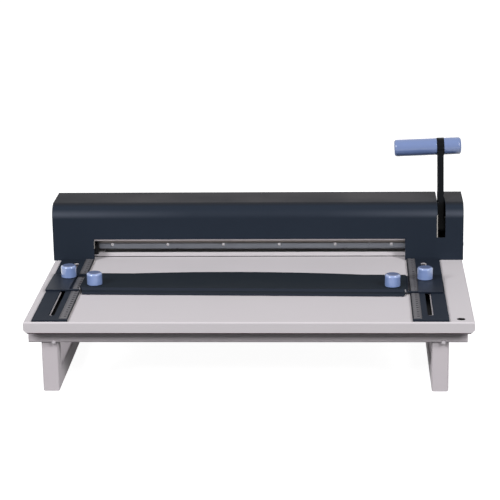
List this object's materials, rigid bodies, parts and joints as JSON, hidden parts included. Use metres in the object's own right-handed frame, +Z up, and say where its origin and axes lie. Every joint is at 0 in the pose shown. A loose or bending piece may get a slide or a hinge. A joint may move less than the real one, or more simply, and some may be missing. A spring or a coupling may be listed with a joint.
{
  "type": "paper creasing machine",
  "caption": "Desktop paper creasing machine: slotted feed table with a sliding stop plate and clamp knobs, a hand lever on the right, and a covered press bar over a grooved bed.",
  "frame": {"origin": "middle of the bounding box's footprint, on the floor", "axes": "+X to the machine's right along its width, +Y from the front edge of the table to the covered press, +Z up"},
  "size_m": [0.6428, 0.41, 0.2915],
  "materials": {
    "table_paint": "satin powder coat, warm light grey",
    "stand_paint": "satin powder coat, light grey",
    "plug_black": "matte black plastic",
    "guide_paint": "fine-grained dark blue-grey coat",
    "rule_steel": "etched steel rule",
    "cover_paint": "satin anthracite coat",
    "cover_screw_black": "blackened screws",
    "bracket_zinc": "zinc-plated sheet",
    "fastener_zinc": "zinc-plated",
    "frame_steel": "dark coat",
    "bright_steel": "ground bright steel",
    "bush_bronze": "sintered bronze",
    "bed_paint": "satin light coat",
    "die_steel": "hardened ground steel",
    "lay_black": "matte black",
    "cam_steel": "hardened steel",
    "lever_black": "satin black coat",
    "grip_blue": "satin periwinkle plastic",
    "beam_steel": "milled steel",
    "screw_bright": "bright nickel",
    "spring_steel": "spring wire",
    "stop_paint": "satin blue-black coat",
    "carriage_paint": "fine-grained dark coat",
    "nut_zinc": "zinc-plated",
    "track_black": "matte black coat",
    "knob_blue": "satin periwinkle plastic",
    "stud_steel": "turned steel"
  },
  "bodies": {
    "frame": {"table_top": "table_paint", "hole_plug": "plug_black", "front_crossbar": "stand_paint", "rear_crossbar": "stand_paint", "left_leg": "stand_paint", "right_leg": "stand_paint", "stand_screws": "fastener_zinc", "left_guide_plate": "guide_paint", "right_guide_plate": "guide_paint", "left_ruler": "rule_steel", "right_ruler": "rule_steel", "guide_screws": "fastener_zinc", "cover": "cover_paint", "left_cover_bracket": "bracket_zinc", "right_cover_bracket": "bracket_zinc", "cover_screws": "cover_screw_black", "left_side_frame": "frame_steel", "right_side_frame": "frame_steel", "left_nut_track": "track_black", "right_nut_track": "track_black", "frame_bolts": "fastener_zinc", "bed_plate": "bed_paint", "die_strip": "die_steel", "left_guide_post": "bright_steel", "right_guide_post": "bright_steel", "tie_bar": "bright_steel", "tie_screws": "fastener_zinc", "left_side_lay": "lay_black", "right_side_lay": "lay_black", "left_bush": "bush_bronze", "right_bush": "bush_bronze", "left_return_spring": "spring_steel", "right_return_spring": "spring_steel"},
    "lever": {"lever_shaft": "bright_steel", "left_cam": "cam_steel", "right_cam": "cam_steel", "lever_plate": "lever_black", "lever_pin": "bright_steel", "grip_rod": "bright_steel", "long_grip": "grip_blue", "short_grip": "grip_blue"},
    "beam": {"creasing_beam": "beam_steel", "clamp_bar": "beam_steel", "creasing_blade": "die_steel", "clamp_screws": "screw_bright"},
    "left_slider": {"left_clamp_nut": "nut_zinc"},
    "stop": {"stop_plate": "stop_paint", "left_carriage": "carriage_paint", "right_carriage": "carriage_paint", "right_clamp_nut": "nut_zinc"},
    "left_outer_clamp": {"left_outer_knob": "knob_blue", "left_outer_stud": "stud_steel"},
    "left_inner_clamp": {"left_inner_knob": "knob_blue", "left_inner_stud": "stud_steel"},
    "right_inner_clamp": {"right_inner_knob": "knob_blue", "right_inner_stud": "stud_steel"},
    "right_outer_clamp": {"right_outer_knob": "knob_blue", "right_outer_stud": "stud_steel"}
  },
  "joints": [
    {"name": "lever_swing", "type": "hinge", "parent": "frame", "child": "lever", "pos_m": [0.2871, 0.141, 0.155], "axis": [1, 0, 0], "range_deg": [0, 95]},
    {"name": "beam_press", "type": "slide", "parent": "frame", "child": "beam", "axis": [0, 0, -1], "range_m": [0, 0.0054], "stiffness_N_per_m": 2000, "springref_m": -0.005, "deforming": ["left_return_spring", "right_return_spring"]},
    {"name": "stop_slide", "type": "slide", "parent": "frame", "child": "left_slider", "axis": [0, 1, 0], "range_m": [-0.14, 0.06]},
    {"name": "stop_skew", "type": "hinge", "parent": "left_slider", "child": "stop", "pos_m": [-0.2829, 0.0042, 0.11], "axis": [0, 0, 1], "range_deg": [-0.5, 2.66]},
    {"name": "left_outer_clamp_turn", "type": "hinge", "parent": "stop", "child": "left_outer_clamp", "pos_m": [-0.2829, 0.0042, 0.12], "axis": [0, 0, 1], "range_deg": [0, 270]},
    {"name": "left_inner_clamp_turn", "type": "hinge", "parent": "stop", "child": "left_inner_clamp", "pos_m": [-0.23746, -0.04197, 0.12], "axis": [0, 0, 1], "range_deg": [0, 270]},
    {"name": "right_inner_clamp_turn", "type": "hinge", "parent": "stop", "child": "right_inner_clamp", "pos_m": [0.20792, -0.05231, 0.12], "axis": [0, 0, 1], "range_deg": [0, 270]},
    {"name": "right_outer_clamp_turn", "type": "hinge", "parent": "stop", "child": "right_outer_clamp", "pos_m": [0.25755, -0.00835, 0.12], "axis": [0, 0, 1], "range_deg": [0, 270]}
  ],
  "couplings": [
    {"joint": "beam_press", "follows": "lever_swing", "m_per_rad": 0.0032}
  ]
}
